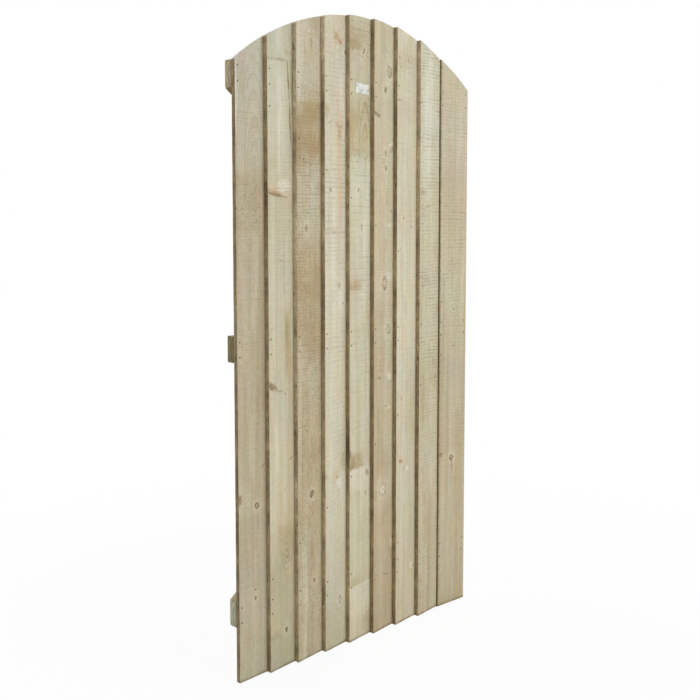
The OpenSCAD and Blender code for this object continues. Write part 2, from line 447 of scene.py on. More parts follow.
# sawn softwood along Z, with its own knots, stains and streaks
def sawnWood(name, look, shift, turn=(0, 0, 0)):
    material, sheet, shader = newMaterial(name)
    spot = sheet.spot(shift, turn)
    rag = sheet.group(ragGroup, Vector=spot)
    fleck = sheet.group(fleckGroup, Vector=spot)
    knots, bulge = findKnots(sheet, spot, rag, look["knots"])
    grain = sheet.group(grainGroup, Vector=spot, Bulge=bulge, **look["grain"])
    spacing, slant, depth, second, foot, head = look["saw"]
    saw = sheet.group(sawGroup, Vector=spot, Spacing=spacing, Slant=slant, Second=second, Foot=foot,
                      Head=head)["Marks"]
    dirt = stainTones["dirt"]
    colour = bareWood(sheet, grain, look)
    colour, stained = layStains(sheet, spot, rag, grain, look["stains"], colour)
    colour = layGrain(sheet, spot, rag, grain, fleck["Grit"], look, colour)
    colour = driftHue(sheet, spot, grain, look["run"], colour)
    colour, stained = layKnots(sheet, knots, colour, stained)
    colour = sheet.mix(sheet.math("MULTIPLY", fleck["Dash"], sawnFace["dash"]), colour, dirt)
    colour = sheet.tint(colour, grain["Fuzz"], 0.5, 0.25, look["fuzz"], dirt)
    bare = sheet.math("SUBTRACT", 1.0, stained)
    worn = sheet.math("MULTIPLY", sheet.span(grain["Fuzz"], 0.5, 0.75, 0.0, look["fuzz"]), bare)
    colour = sheet.mix(worn, colour, stainTones["pale"])
    held = sheet.math("MULTIPLY_ADD", stained, sawnFace["stainInCuts"], depth)  # stain sits in the cuts
    colour = sheet.mix(sheet.math("MULTIPLY", saw, held), colour, dirt)
    sheet.feed(shader.inputs["Base Color"], colour)
    sheet.feed(shader.inputs["Roughness"], sheet.span(grain["Fibre"], 0.2, 0.8, 0.92, 0.76))
    height = sheet.math("MULTIPLY", grain["Fibre"], sawnFace["fibreHeight"])
    height = sheet.math("MULTIPLY_ADD", saw, -depth, height)
    height = sheet.math("MULTIPLY_ADD", grain["Fuzz"], sawnFace["fuzzHeight"], height)
    height = sheet.math("MULTIPLY_ADD", grain["Rings"], sawnFace["ringHeight"], height)
    bumpOn(sheet, shader, height, sawnFace["bump"], sawnFace["bumpDepth"])
    return material


# the thick edges: darker, furred by the saw, with bark here and there
def makeFurGroup():
    tree, sheet, given, out = newGroup("edgeFur", dict(Vector=None), ["Patch", "Fibre", "Bark"])
    sheet.feed(out["Patch"], sheet.noise(given["Vector"], (9, 9, 13), 4.0, 0.75))
    sheet.feed(out["Fibre"], sheet.noise(given["Vector"], (260, 260, 45), 3.0, 0.65))
    sheet.feed(out["Bark"], sheet.span(sheet.noise(given["Vector"], (20, 110, 30), 3.0, 0.65), 0.62, 0.74))
    return tree


furGroup = makeFurGroup()
edgeFur = dict(
    fibre=tone(126, 106, 74), fibreShare=0.5, bark=tone(72, 56, 38), barkShare=0.9,
    deepShare=0.44, paleShare=1.6, sway=0.1, bump=0.8, bumpDepth=0.0018,
)


def sawnEdge(name, shade, seed, edgeByHeight):
    material, sheet, shader = newMaterial(name, 0.95, 0.15)
    fur = sheet.group(furGroup, Vector=sheet.spot((seed, seed, seed)))
    deep = shaded(shade, edgeFur["deepShare"])
    pale = shaded(shade, edgeFur["paleShare"])
    colour = sheet.ramp(fur["Patch"], [(0.28, deep), (0.5, shade), (0.72, pale)])
    colour = sheet.tint(colour, fur["Fibre"], 0.7, 0.3, edgeFur["fibreShare"], edgeFur["fibre"])
    colour = sheet.mix(sheet.math("MULTIPLY", fur["Bark"], edgeFur["barkShare"]), colour, edgeFur["bark"])
    # the edge is made lighter or darker by height, as listed for each board
    shades = [(z, (level ** 2.0, level ** 2.2, level ** 2.6, 1)) for z, level in edgeByHeight]
    colour = sheet.shadeUp(colour, sheet.spot((0, 0, 0)), fur["Patch"], edgeFur["sway"], shades)
    sheet.feed(shader.inputs["Base Color"], colour)
    bumpOn(sheet, shader, fur["Fibre"], edgeFur["bump"], edgeFur["bumpDepth"])
    return material


# sawn ends, where the rings show as arcs
def makeArcGroup():
    inputs = dict(Vector=None, Width=0.14, Spacing=0.0045)
    tree, sheet, given, out = newGroup("endArcs", inputs, ["Rings", "Cloud", "Pores"])
    wobble = sheet.math("MULTIPLY", sheet.noise(given["Vector"], (30, 30, 30), 2.0), 0.012)
    x, y, _ = sheet.split(given["Vector"])
    share = sheet.math("FRACT", sheet.math("DIVIDE", x, given["Width"]))
    x = sheet.math("MULTIPLY", sheet.math("SUBTRACT", share, 0.5), given["Width"])
    reach = sheet.hypot(x, y)
    rings = sheet.math("FRACT", sheet.math("DIVIDE", sheet.math("ADD", reach, wobble), given["Spacing"]))
    sheet.feed(out["Rings"], sheet.math("POWER", rings, 2.0))
    sheet.feed(out["Cloud"], sheet.noise(given["Vector"], (40, 40, 40), 3.0))
    sheet.feed(out["Pores"], sheet.noise(given["Vector"], (500, 500, 500), 2.0))
    return tree


arcGroup = makeArcGroup()
endGrain = dict(deepShare=0.75, paleShare=1.15, lateShare=0.55, bump=0.5, bumpDepth=0.001)


def sawnEnd(name, shade, shift, turn=(0, 0, 0), spacing=0.0045, late=0.4):
    material, sheet, shader = newMaterial(name, 0.95, 0.15)
    arcs = sheet.group(arcGroup, Vector=sheet.spot(shift, turn), Spacing=spacing)
    deep = shaded(shade, endGrain["deepShare"])
    pale = shaded(shade, endGrain["paleShare"])
    ring = shaded(shade, endGrain["lateShare"])
    colour = sheet.ramp(arcs["Cloud"], [(0.3, deep), (0.5, shade), (0.7, pale)])
    colour = sheet.mix(sheet.math("MULTIPLY", arcs["Rings"], late), colour, ring)
    sheet.feed(shader.inputs["Base Color"], colour)
    bumpOn(sheet, shader, arcs["Pores"], endGrain["bump"], endGrain["bumpDepth"])
    return material


# the board ends are very pale, partly as a painted highlight along the arch
boardEnd = sawnEnd("boardEnd", tone(234, 230, 214), (0.03, 0.045, 0), late=0.25)


# a block of sawn timber: a cube cut into a grid, put in its place, its arrises eased
timberEdges = dict(sharpAngle=0.6, arrisSteps=2, smoothBelow=math.radians(38))


def timberBlock(cuts, place, arris):
    block = bmesh.new()
    bmesh.ops.create_cube(block, size=1.0)
    for axis, count in enumerate(cuts):
        lengthwise = [e for e in block.edges if abs(e.verts[0].co[axis] - e.verts[1].co[axis]) > 0.5]
        if count:
            bmesh.ops.subdivide_edges(block, edges=lengthwise, cuts=count, use_grid_fill=True)
    for vert in block.verts:
        vert.co = place(*(c + 0.5 for c in vert.co))
    block.normal_update()
    sharp = [e for e in block.edges if e.calc_face_angle(0) > timberEdges["sharpAngle"]]
    bmesh.ops.bevel(block, geom=sharp, offset=arris, offset_type="OFFSET", segments=timberEdges["arrisSteps"],
                    profile=0.5, affect="EDGES", material=-1, clamp_overlap=True)
    return block


# rough sawing takes wood off: every point goes inwards, never out
sawing = dict(evenShare=0.5, broadShare=0.35, fineShare=0.15, finer=4, apart=7.0)


def roughen(block, centre, depth, pace, seed):
    for vert in block.verts:
        across = vert.co.x * pace
        up = vert.co.z * pace
        broad = noise.noise(Vector((across, seed, up)))
        fine = noise.noise(Vector((across * sawing["finer"], seed + sawing["apart"], up * sawing["finer"])))
        uneven = sawing["broadShare"] * broad + sawing["fineShare"] * fine
        take = depth * (sawing["evenShare"] + uneven)
        vert.co.y += take if vert.co.y < centre.y else -take


def finishPiece(name, block, materials, pick, node):
    for face in block.faces:
        face.material_index = pick(face)
        face.smooth = True
    mesh = bpy.data.meshes.new(name)
    block.to_mesh(mesh)
    block.free()
    for material in materials:
        mesh.materials.append(material)
    mesh.set_sharp_from_angle(angle=timberEdges["smoothBelow"])
    piece = bpy.data.objects.new(name, mesh)
    scene.collection.objects.link(piece)
    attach(piece, "root")
    if node:
        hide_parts(node)


nailApart = 0.006  # corners nearer to each other than this, in X and in Z, belong to one nail


def nailHeads(node):  # places of the nail heads, read from a nail node
    nails = {}
    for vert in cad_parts[node].data.vertices:
        key = (vert.co.x, vert.co.z)
        near = (k for k in nails if abs(k[0] - key[0]) < nailApart and abs(k[1] - key[1]) < nailApart)
        nails.setdefault(next(near, key), []).append(vert.co)
    low = [Vector(min(c[i] for c in points) for i in range(3)) for points in nails.values()]
    high = [Vector(max(c[i] for c in points) for i in range(3)) for points in nails.values()]
    return [Vector(((a.x + b.x) / 2, a.y, (a.z + b.z) / 2)) for a, b in zip(low, high)]


nailNodes = [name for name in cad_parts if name.endswith("_nails")]
heads = {name: nailHeads(name) for name in nailNodes}
allHeads = [head for group in heads.values() for head in group]
print("nail heads found:", len(allHeads))

# the arch, from the crown and the corners at the ends of the top rail
halfWidth = cadBox[1].x
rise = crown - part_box("top_rail")[1].z
archRadius = (halfWidth ** 2 + rise ** 2) / (2 * rise)


def archHeight(x):
    return crown - archRadius + math.sqrt(archRadius ** 2 - x * x)


endTolerance = 0.0005  # corners within this of a timber's foot or head belong to it


def boardCorners(node):  # front left, front right, back left and back right of a board's foot
    foot = [v.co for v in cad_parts[node].data.vertices if v.co.z < endTolerance]
    middle = (min(c.x for c in foot) + max(c.x for c in foot)) / 2
    left = sorted((c for c in foot if c.x < middle), key=lambda c: c.y)
    right = sorted((c for c in foot if c.x > middle), key=lambda c: c.y)
    return left[0], right[0], left[-1], right[-1]


boardShape = dict(
    cuts=(13, 1, 150), arris=0.0011, roughness=0.0004, pace=9.0,
    edgeWave=0.0011, edgePace=26.0, edgeReach=0.004, edgeGrain=60,
)
footShadow = (-0.02, 0.003, 0.006, 0.001, 0.007, 0.2, "dark", 0.8)  # painted contact shadow along each board's foot, laid on as a stain like those in the looks below
dimple = dict(reach=0.011, floor=0.0027, rim=0.0046, depth=0.00095, cuts=3, sunk=0.004)


# the wood gives way round each hammered nail
def pressDimples(block, spots):
    reach = dimple["reach"]
    near = set()
    for face in block.faces:
        middle = face.calc_center_median()
        close = any(abs(middle.x - s.x) < reach and abs(middle.z - s.z) < reach for s in spots)
        if close and face.normal.y < -0.8:
            near.update(face.edges)
    bmesh.ops.subdivide_edges(block, edges=list(near), cuts=dimple["cuts"], use_grid_fill=True)
    block.normal_update()
    for vert in block.verts:
        if vert.normal.y > -0.6:
            continue
        for spot in spots:
            away = math.hypot(vert.co.x - spot.x, vert.co.z - spot.z)
            if away < dimple["rim"]:
                share = min(1.0, (dimple["rim"] - away) / (dimple["rim"] - dimple["floor"]))
                vert.co.y += dimple["depth"] * share * share * (3 - 2 * share)


def buildBoard(look):
    node = look["node"]
    frontLeft, frontRight, backLeft, backRight = boardCorners(node)

    def place(s, d, h):
        spot = frontLeft.lerp(frontRight, s).lerp(backLeft.lerp(backRight, s), d)
        return Vector((spot.x, spot.y, h * archHeight(spot.x)))

    block = timberBlock(boardShape["cuts"], place, boardShape["arris"])
    roughen(block, (frontLeft + backRight) / 2, boardShape["roughness"], boardShape["pace"], look["seed"])
    edgeReach = boardShape["edgeReach"]
    for vert in block.verts:  # the sawn edge wanders in and out a little
        inside = vert.co.x - frontLeft.x
        if inside < edgeReach:
            along = (look["seed"], vert.co.y * boardShape["edgeGrain"], vert.co.z * boardShape["edgePace"])
            wave = 0.5 + 0.5 * noise.noise(Vector(along))
            vert.co.x += boardShape["edgeWave"] * wave * (1 - max(inside, 0) / edgeReach)

    def faceDepth(x):
        return frontLeft.lerp(frontRight, (x - frontLeft.x) / (frontRight.x - frontLeft.x)).y

    own = [s for s in allHeads if backLeft.x < s.x < frontRight.x
           and abs(s.z - look.get("closed", 0)) > dimple["reach"]
           and s.y < faceDepth(s.x) + dimple["sunk"]]
    pressDimples(block, own)
    # each face gets a thin band of painted shadow along its foot
    footShaded = dict(look, stains=look["stains"] + [footShadow])
    wood = sawnWood(node + "Wood", footShaded, (-backLeft.x, look["seed"], 0))
    edge = sawnEdge(node + "Edge", look["edge"], look["seed"], look["edgeByHeight"])

    def pick(face):  # ends, then edges, then the rest
        if abs(face.normal.z) > 0.5:
            return 2
        return 1 if abs(face.normal.x) > 0.8 else 0

    finishPiece(node + "Wood", block, [wood, edge, boardEnd], pick, node)


# one look for each board; x runs from the board's left edge and z from the foot
# edgeByHeight: height and shade of the thick edge; run: height, shade and warmth of the face
# deep, mid, pale: shades of the bare wood; green, tan, blotch, fibre, fuzz: how uneven it is
# grain: place of the pith behind the face, its lean and warp, spacing and number of the rings
# closed: height of a nail that the wood closed over; rings: low, high, strength there and elsewhere
# saw: spacing, slant, strength, how much fainter every other mark is, shares left at foot and head
# knots: x, z, radius, stretch, turn, shade, heart, rim; grit: low, high, amount
# stains: low, high, rag, softness below and above, reach from the left edge, shade, amount
# streaks: x, width, low, high, shade, amount
boardOne = dict(
    node="board_1", seed=1.3, edge=tone(156, 138, 108), closed=1.54,
    edgeByHeight=[(0.0, 1.0), (0.48, 0.87), (0.7, 0.98), (1.0, 0.95), (1.4, 0.92), (1.56, 1.0), (1.66, 1.1)],
    run=[(0.1, 1.02, -0.01), (0.45, 1.0, 0.015), (0.56, 1.04, 0.0), (0.75, 0.92, 0.04),
         (0.86, 0.98, 0.02), (1.15, 0.94, 0.015), (1.3, 0.955, 0.01), (1.46, 0.92, 0.03),
         (1.6, 0.97, -0.01)],
    deep=tone(168, 155, 126), mid=tone(191, 182, 157), pale=tone(202, 197, 176),
    green=0.35, tan=0.38, blotch=0.35, fibre=0.26, fuzz=0.27,
    grain=dict(PithX=0.066, PithDepth=-0.276, Lean=0.2, Warp=0.04, Spacing=0.0085),
    rings=(1.38, 1.6, 0.45, 0.22), ringTone=tone(158, 144, 114),
    saw=(0.0083, 0.0, 0.44, 0.7, 0.4, 0.75),
    knots=[(0.066, 0.469, 0.0074, 0.95, 8, "brown", 0.4, 1.0),
           (0.067, 0.42, 0.0016, 24, 0, "umber", 0.6, 0), (0.001, 0.494, 0.011, 1.4, 0, "rust", 1.0, 0.2),
           (0.057, 0.218, 0.0038, 1.6, -14, "umber", 1.0, 0.3),
           (0.067, 0.252, 0.0022, 1.0, 0, "dirt", 0.8, 0),
           (0.088, 0.575, 0.005, 1.8, -35, "dirt", 0.75, 0)],
    stains=[(0.0, 0.1, 0.06, 0.08, 0.08, 0.2, "olive", 0.2),
            (1.44, 1.8, 0.1, 0.12, 0.1, 0.2, "grey", 0.75),
            (1.21, 1.33, 0.06, 0.04, 0.04, 0.2, "brown", 0.4)],
    grit=[(1.22, 1.32, 0.8), (0.8, 0.84, 0.25)],
    streaks=[(0.086, 0.016, 1.12, 1.34, "pink", 0.6), (0.062, 0.016, 0.9, 1.25, "pale", 0.4),
             (0.045, 0.02, 0.5, 0.9, "grey", 0.4), (0.014, 0.014, 0.5, 1.3, "pink", 0.25),
             # the first streak on the next line is a painted highlight along the left arris
             (0.003, 0.008, 1.4, 1.72, "pale", 0.8), (0.092, 0.012, 1.56, 1.8, "brown", 0.5)],
)
boardTwo = dict(
    node="board_2", seed=2.9, edge=tone(178, 160, 128),
    edgeByHeight=[(0.12, 0.9), (0.2, 1.05), (1.22, 1.0), (1.28, 0.75), (1.36, 0.95), (1.66, 1.1)],
    run=[(0.04, 0.94, -0.01), (0.15, 0.97, 0.0), (0.27, 0.92, 0.03), (0.37, 1.0, 0.03), (0.5, 1.07, 0.0),
         (0.72, 1.0, 0.015), (1.05, 1.04, -0.02), (1.25, 0.94, 0.015), (1.38, 0.97, -0.01),
         (1.56, 0.95, -0.02)],
    deep=tone(180, 168, 138), mid=tone(199, 192, 167), pale=tone(209, 205, 184),
    green=0.3, tan=0.3, blotch=0.4, fibre=0.2, fuzz=0.22,
    grain=dict(PithX=0.065, PithDepth=0.084, Lean=-0.22, Warp=0.02, Spacing=0.0045, Count=5.7),
    rings=(0.25, 0.35, 0.95, 0.08), ringTone=tone(140, 118, 74),
    saw=(0.0088, -0.02, 0.28, 0.4, 0.3, 0.6),
    knots=[(0.02, 1.309, 0.04, 0.38, -8, "pink", 0.95, 0), (0.022, 1.3, 0.036, 0.24, -8, "brown", 0.7, 0),
           (0.03, 1.295, 0.04, 0.11, -8, "umber", 0.8, 0), (0.062, 1.32, 0.026, 0.8, 0, "pale", 0.85, 0),
           (0.064, 1.29, 0.022, 0.12, -10, "brown", 0.7, 0), (0.08, 1.6, 0.0032, 16, 4, "umber", 0.9, 0),
           (0.086, 1.49, 0.0032, 19, 2, "umber", 0.9, 0), (0.092, 1.575, 0.0018, 14, 2, "dirt", 0.7, 0),
           (0.048, 1.121, 0.014, 0.16, -6, "dirt", 0.6, 0), (0.052, 1.65, 0.017, 0.16, 0, "dirt", 0.7, 0),
           (0.074, 1.672, 0.006, 1.6, 20, "olive", 0.8, 0),
           (0.014, 0.785, 0.024, 0.46, -26, "umber", 1.0, 0),
           (0.04, 0.77, 0.016, 0.25, -10, "dirt", 0.6, 0),
           (0.064, 0.761, 0.0032, 1.0, 0, "umber", 0.7, 0),
           (0.085, 0.58, 0.0038, 2.4, -50, "dirt", 0.85, 0),
           (0.06, 0.495, 0.003, 1.6, -20, "dirt", 0.7, 0), (0.018, 0.115, 0.024, 0.8, 0, "pink", 0.6, 0),
           (0.064, 0.103, 0.0052, 1.6, 6, "dark", 1.0, 0.4),
           (0.057, 0.117, 0.0026, 1.4, -20, "umber", 0.8, 0),
           (0.06, 0.114, 0.0032, 1.0, 0, "pale", 1.0, 0), (0.02, 0.096, 0.02, 0.8, 0, "dirt", 0.3, 0),
           (0.074, 0.275, 0.016, 1.4, 0, "pink", 0.5, 0)],
    stains=[(1.65, 1.8, 0.02, 0.004, 0.02, 0.2, "grey", 0.55),
            (1.65, 1.8, 0.02, 0.004, 0.02, 0.2, "olive", 0.1),
            (1.645, 1.649, 0.006, 0.003, 0.004, 0.1, "dirt", 0.55),
            (1.47, 1.641, 0.02, 0.1, 0.003, 0.085, "pale", 0.4),
            (0.0, 0.28, 0.08, 0.16, 0.16, 0.2, "olive", 0.5)],
    grit=[],
    streaks=[(0.09, 0.009, 1.38, 1.7, "dirt", 0.6), (0.088, 0.02, 1.44, 1.84, "olive", 0.55),
             (0.072, 0.018, 0.76, 1.02, "brown", 0.95), (0.075, 0.016, 0.96, 1.12, "pink", 0.4),
             (0.048, 0.022, 1.3, 1.66, "pale", 0.75), (0.045, 0.022, 1.62, 1.8, "pale", 0.6),
             (0.03, 0.02, 0.5, 0.74, "pale", 0.4)],
)
boardThree = dict(
    node="board_3", seed=4.1, edge=tone(203, 187, 156),
    edgeByHeight=[(0.0, 0.9), (0.46, 1.05), (0.62, 0.8), (0.8, 1.0), (1.24, 1.1), (1.38, 0.95), (1.6, 1.15)],
    run=[(0.04, 1.03, 0.0), (0.15, 1.09, 0.0), (0.28, 1.01, 0.01), (0.55, 0.96, 0.025), (0.75, 1.03, 0.0),
         (0.86, 0.97, 0.01), (1.15, 0.97, 0.015), (1.35, 1.03, -0.02), (1.5, 0.96, 0.0)],
    deep=tone(170, 154, 122), mid=tone(192, 180, 152), pale=tone(206, 197, 173),
    green=0.25, tan=0.34, blotch=0.65, fibre=0.34, fuzz=0.42,
    grain=dict(PithX=0.05, PithDepth=0.03, Lean=0.012, Warp=0.05, Spacing=0.005),
    rings=(0.3, 1.2, 0.4, 0.3), ringTone=tone(158, 140, 106),
    saw=(0.0088, 0.01, 0.8, 0.3, 0.45, 0.25),
    knots=[(0.059, 0.467, 0.0058, 1.7, -30, "umber", 0.9, 0.8),
           (0.061, 0.425, 0.0016, 16, 0, "dirt", 0.5, 0),
           (0.068, 0.218, 0.0046, 1.4, 12, "umber", 1.0, 0.4),
           (0.016, 1.396, 0.006, 0.5, 0, "dirt", 0.9, 0), (0.03, 1.392, 0.0042, 0.9, 0, "umber", 0.7, 0),
           (0.048, 1.395, 0.005, 0.5, 0, "dirt", 0.8, 0), (0.04, 1.207, 0.004, 2.2, 0, "dirt", 0.9, 0.4),
           (0.022, 0.212, 0.011, 0.4, 0, "dirt", 0.5, 0), (0.02, 0.35, 0.005, 1.2, 0, "dirt", 0.6, 0),
           (0.012, 1.444, 0.0032, 1.0, 0, "umber", 0.8, 0), (0.05, 1.13, 0.003, 1.2, 0, "dark", 0.7, 0),
           (0.08, 1.755, 0.018, 1.2, 0, "brown", 0.5, 0), (0.066, 1.728, 0.02, 0.3, 10, "olive", 0.7, 0),
           (0.062, 1.705, 0.0034, 4.5, 4, "dirt", 0.7, 0), (0.036, 1.69, 0.003, 9, 3, "olive", 0.8, 0)],
    stains=[(1.62, 1.8, 0.08, 0.06, 0.06, 0.2, "grey", 0.5),
            (1.425, 1.545, 0.035, 0.03, 0.014, 0.2, "brown", 1.0),
            (1.44, 1.52, 0.06, 0.03, 0.03, 0.06, "brown", 0.7),
            (1.385, 1.44, 0.06, 0.02, 0.03, 0.2, "brown", 0.6),
            (0.9, 1.14, 0.08, 0.06, 0.06, 0.2, "brown", 0.55),
            (1.02, 1.085, 0.04, 0.02, 0.02, 0.2, "brown", 0.6),
            (0.5, 0.76, 0.08, 0.05, 0.05, 0.07, "olive", 0.5),
            (1.16, 1.34, 0.06, 0.06, 0.06, 0.2, "grey", 0.3)],
    grit=[(1.385, 1.42, 0.8), (1.06, 1.1, 0.4), (0.94, 1.02, 0.35), (0.5, 0.76, 0.45),
          (0.06, 0.42, 0.35)],
    streaks=[(0.01, 0.014, 1.34, 1.52, "rust", 0.6), (0.014, 0.022, 1.49, 1.8, "pale", 0.6),
             # the second streak on the next line, a thin pale line at the left edge, is partly wear and
             # partly a painted highlight on the arris
             (0.07, 0.02, 1.15, 1.4, "green", 0.5), (0.01, 0.01, 0.45, 0.95, "pale", 0.5),
             (0.03, 0.016, -0.06, 0.36, "pale", 0.4), (0.062, 0.012, -0.06, 0.38, "brown", 0.45),
             (0.046, 0.007, -0.06, 0.42, "dirt", 0.35)],
)
boardFour = dict(
    node="board_4", seed=5.7, edge=tone(190, 173, 140),
    edgeByHeight=[(0.0, 1.0), (0.7, 1.0), (1.0, 0.9), (1.2, 1.05), (1.38, 1.05), (1.47, 0.8), (1.54, 0.85),
          (1.62, 1.05), (1.69, 1.25)],
    run=[(0.04, 0.93, 0.0), (0.15, 1.0, -0.015), (0.26, 1.06, -0.02), (0.45, 1.05, 0.0),
         (0.6, 0.99, 0.02), (0.8, 1.01, 0.01), (1.03, 1.06, -0.01), (1.18, 1.0, 0.0), (1.45, 0.94, 0.02),
         (1.56, 0.95, 0.0)],
    deep=tone(196, 187, 162), mid=tone(209, 204, 184), pale=tone(216, 212, 195),
    green=0.2, tan=0.18, blotch=0.5, fibre=0.26, fuzz=0.26,
    grain=dict(PithX=0.07, PithDepth=0.02, Lean=0.012, Warp=0.04, Spacing=0.0065),
    rings=(0.5, 1.0, 0.25, 0.2), ringTone=tone(184, 168, 134),
    saw=(0.0134, 0.0, 0.34, 0.0, 0.3, 0.65),
    knots=[(0.058, 1.728, 0.024, 0.9, 0, "pink", 0.75, 0),
           (0.052, 1.733, 0.015, 0.7, 25, "rust", 0.55, 0),
           (0.066, 1.721, 0.01, 0.7, -20, "rust", 0.7, 0), (0.044, 1.743, 0.008, 0.4, 10, "dirt", 0.7, 0),
           (0.06, 1.747, 0.004, 1.0, 0, "brown", 0.7, 0), (0.05, 1.716, 0.009, 0.4, -30, "dirt", 0.4, 0),
           (0.092, 1.695, 0.006, 0.9, 20, "dark", 0.95, 0.3), (0.066, 1.5, 0.019, 2.4, 0, "pink", 0.7, 0),
           (0.064, 1.468, 0.01, 2.0, 0, "brown", 0.7, 0),
           (0.055, 1.494, 0.012, 0.6, -35, "brown", 0.55, 0),
           (0.074, 1.49, 0.011, 0.45, 15, "brown", 0.55, 0), (0.055, 1.545, 0.005, 7, 0, "pink", 0.7, 0),
           (0.022, 1.497, 0.014, 0.22, 25, "olive", 0.8, 0),
           (0.042, 1.195, 0.012, 0.5, 0, "brown", 0.5, 0), (0.01, 1.528, 0.013, 1.6, 0, "olive", 0.7, 0),
           (0.026, 1.312, 0.0048, 1.0, 30, "dirt", 0.5, 0.6),
           (0.062, 1.045, 0.0042, 2.0, 10, "dirt", 0.6, 0), (0.066, 1.008, 0.009, 3.0, 0, "pale", 0.7, 0),
           (0.079, 0.994, 0.0042, 0.7, 0, "dirt", 0.7, 0),
           (0.066, 0.138, 0.0062, 1.3, 0, "pink", 0.7, 0.5),
           (0.066, 0.124, 0.006, 0.5, -20, "dirt", 0.5, 0), (0.048, 0.496, 0.02, 1.3, 15, "pink", 0.7, 0),
           (0.06, 0.48, 0.016, 1.1, 0, "pale", 0.9, 0), (0.053, 0.498, 0.006, 1.4, 15, "brown", 0.6, 0),
           (0.005, 0.505, 0.008, 1.4, 0, "brown", 0.5, 0), (0.08, 0.542, 0.011, 3.0, 0, "olive", 0.7, 0),
           (0.095, 0.47, 0.0045, 1.5, 0, "dark", 0.85, 0)],
    stains=[(0.0, 0.26, 0.08, 0.16, 0.16, 0.2, "olive", 0.45),
            (1.6, 1.8, 0.06, 0.06, 0.06, 0.2, "pink", 0.28),
            (1.193, 1.197, 0.008, 0.003, 0.003, 0.2, "rust", 0.3),
            (1.38, 1.44, 0.05, 0.02, 0.05, 0.2, "pale", 0.3)],
    grit=[(1.7, 1.75, 0.4), (0.4, 0.52, 0.2)],
    streaks=[(0.066, 0.021, 1.02, 1.54, "pink", 0.85), (0.074, 0.014, 1.46, 1.68, "pale", 0.8),
             (0.088, 0.014, 1.1, 1.5, "green", 0.5), (0.034, 0.022, 1.02, 1.4, "pale", 0.5),
             (0.088, 0.03, 0.48, 1.02, "olive", 0.5), (0.03, 0.024, 0.48, 0.9, "pale", 0.4),
             (0.066, 0.01, 0.18, 0.44, "pink", 0.6), (0.026, 0.014, 0.12, 0.4, "grey", 0.5)],
)
boardFive = dict(
    node="board_5", seed=7.3, edge=tone(174, 157, 124),
    edgeByHeight=[(0.0, 1.0), (0.2, 1.1), (0.5, 0.95), (0.57, 0.65), (0.64, 0.9), (1.0, 1.0), (1.4, 1.1),
          (1.66, 1.12)],
    run=[(0.05, 1.04, 0.015), (0.16, 1.06, 0.01), (0.28, 1.12, -0.01), (0.37, 1.11, -0.01),
         (0.47, 1.0, 0.02), (0.7, 1.02, 0.0), (0.78, 1.05, -0.01), (0.95, 0.97, 0.0), (1.2, 1.0, -0.01),
         (1.36, 1.04, -0.03), (1.44, 1.03, 0.0), (1.56, 0.92, 0.01)],
    deep=tone(183, 172, 143), mid=tone(204, 198, 174), pale=tone(214, 211, 193),
    green=0.35, tan=0.25, blotch=0.45, fibre=0.22, fuzz=0.25,
    grain=dict(PithX=0.07, PithDepth=-0.33, Lean=0.23, Warp=0.02, Spacing=0.014, Count=2.2),
    rings=(1.49, 1.57, 1.0, 0.2), ringTone=tone(160, 142, 102),
    saw=(0.00885, 0.0, 0.5, 0.9, 0.38, 1.0),
    knots=[(0.066, 1.704, 0.0036, 2.6, -25, "dark", 0.95, 0.3),
           (0.06, 1.69, 0.004, 0.8, 0, "dirt", 0.8, 0),
           (0.042, 1.314, 0.0038, 1.8, -25, "dirt", 0.85, 0.2),
           (0.057, 1.209, 0.0038, 2.4, 6, "dirt", 0.8, 0.2),
           (0.082, 0.49, 0.0075, 1.4, 20, "brown", 0.9, 0.2),
           (0.082, 0.04, 0.022, 2.0, 0, "brown", 0.45, 0), (0.004, 0.558, 0.005, 3.0, 0, "dark", 0.8, 0),
           (0.075, 0.43, 0.005, 1.4, 0, "dirt", 0.4, 0)],
    stains=[(1.708, 1.765, 0.03, 0.006, 0.02, 0.09, "olive", 0.75),
            (1.71, 1.726, 0.02, 0.006, 0.02, 0.06, "brown", 0.75),
            (1.63, 1.8, 0.06, 0.04, 0.04, 0.2, "olive", 0.25),
            (1.425, 1.545, 0.06, 0.03, 0.05, 0.2, "olive", 0.62),
            (1.43, 1.51, 0.06, 0.03, 0.05, 0.06, "brown", 0.5),
            (1.03, 1.044, 0.014, 0.004, 0.03, 0.08, "brown", 0.8),
            (0.512, 0.54, 0.02, 0.006, 0.03, 0.085, "brown", 0.85),
            (0.516, 0.54, 0.02, 0.006, 0.03, 0.035, "umber", 0.35),
            (0.455, 0.505, 0.02, 0.02, 0.006, 0.2, "pale", 0.6),
            (0.168, 0.3, 0.012, 0.004, 0.12, 0.2, "olive", 0.34),
            (0.166, 0.18, 0.014, 0.003, 0.02, 0.08, "olive", 0.7),
            (0.09, 0.16, 0.02, 0.04, 0.004, 0.2, "pale", 0.4)],
    grit=[(1.7, 1.76, 0.7), (1.41, 1.45, 0.6), (0.51, 0.54, 0.4)],
    streaks=[(0.07, 0.016, 0.9, 1.38, "pale", 0.5), (0.05, 0.02, 0.55, 0.95, "green", 0.5),
             (0.03, 0.02, 0.18, 0.46, "green", 0.5)],
)
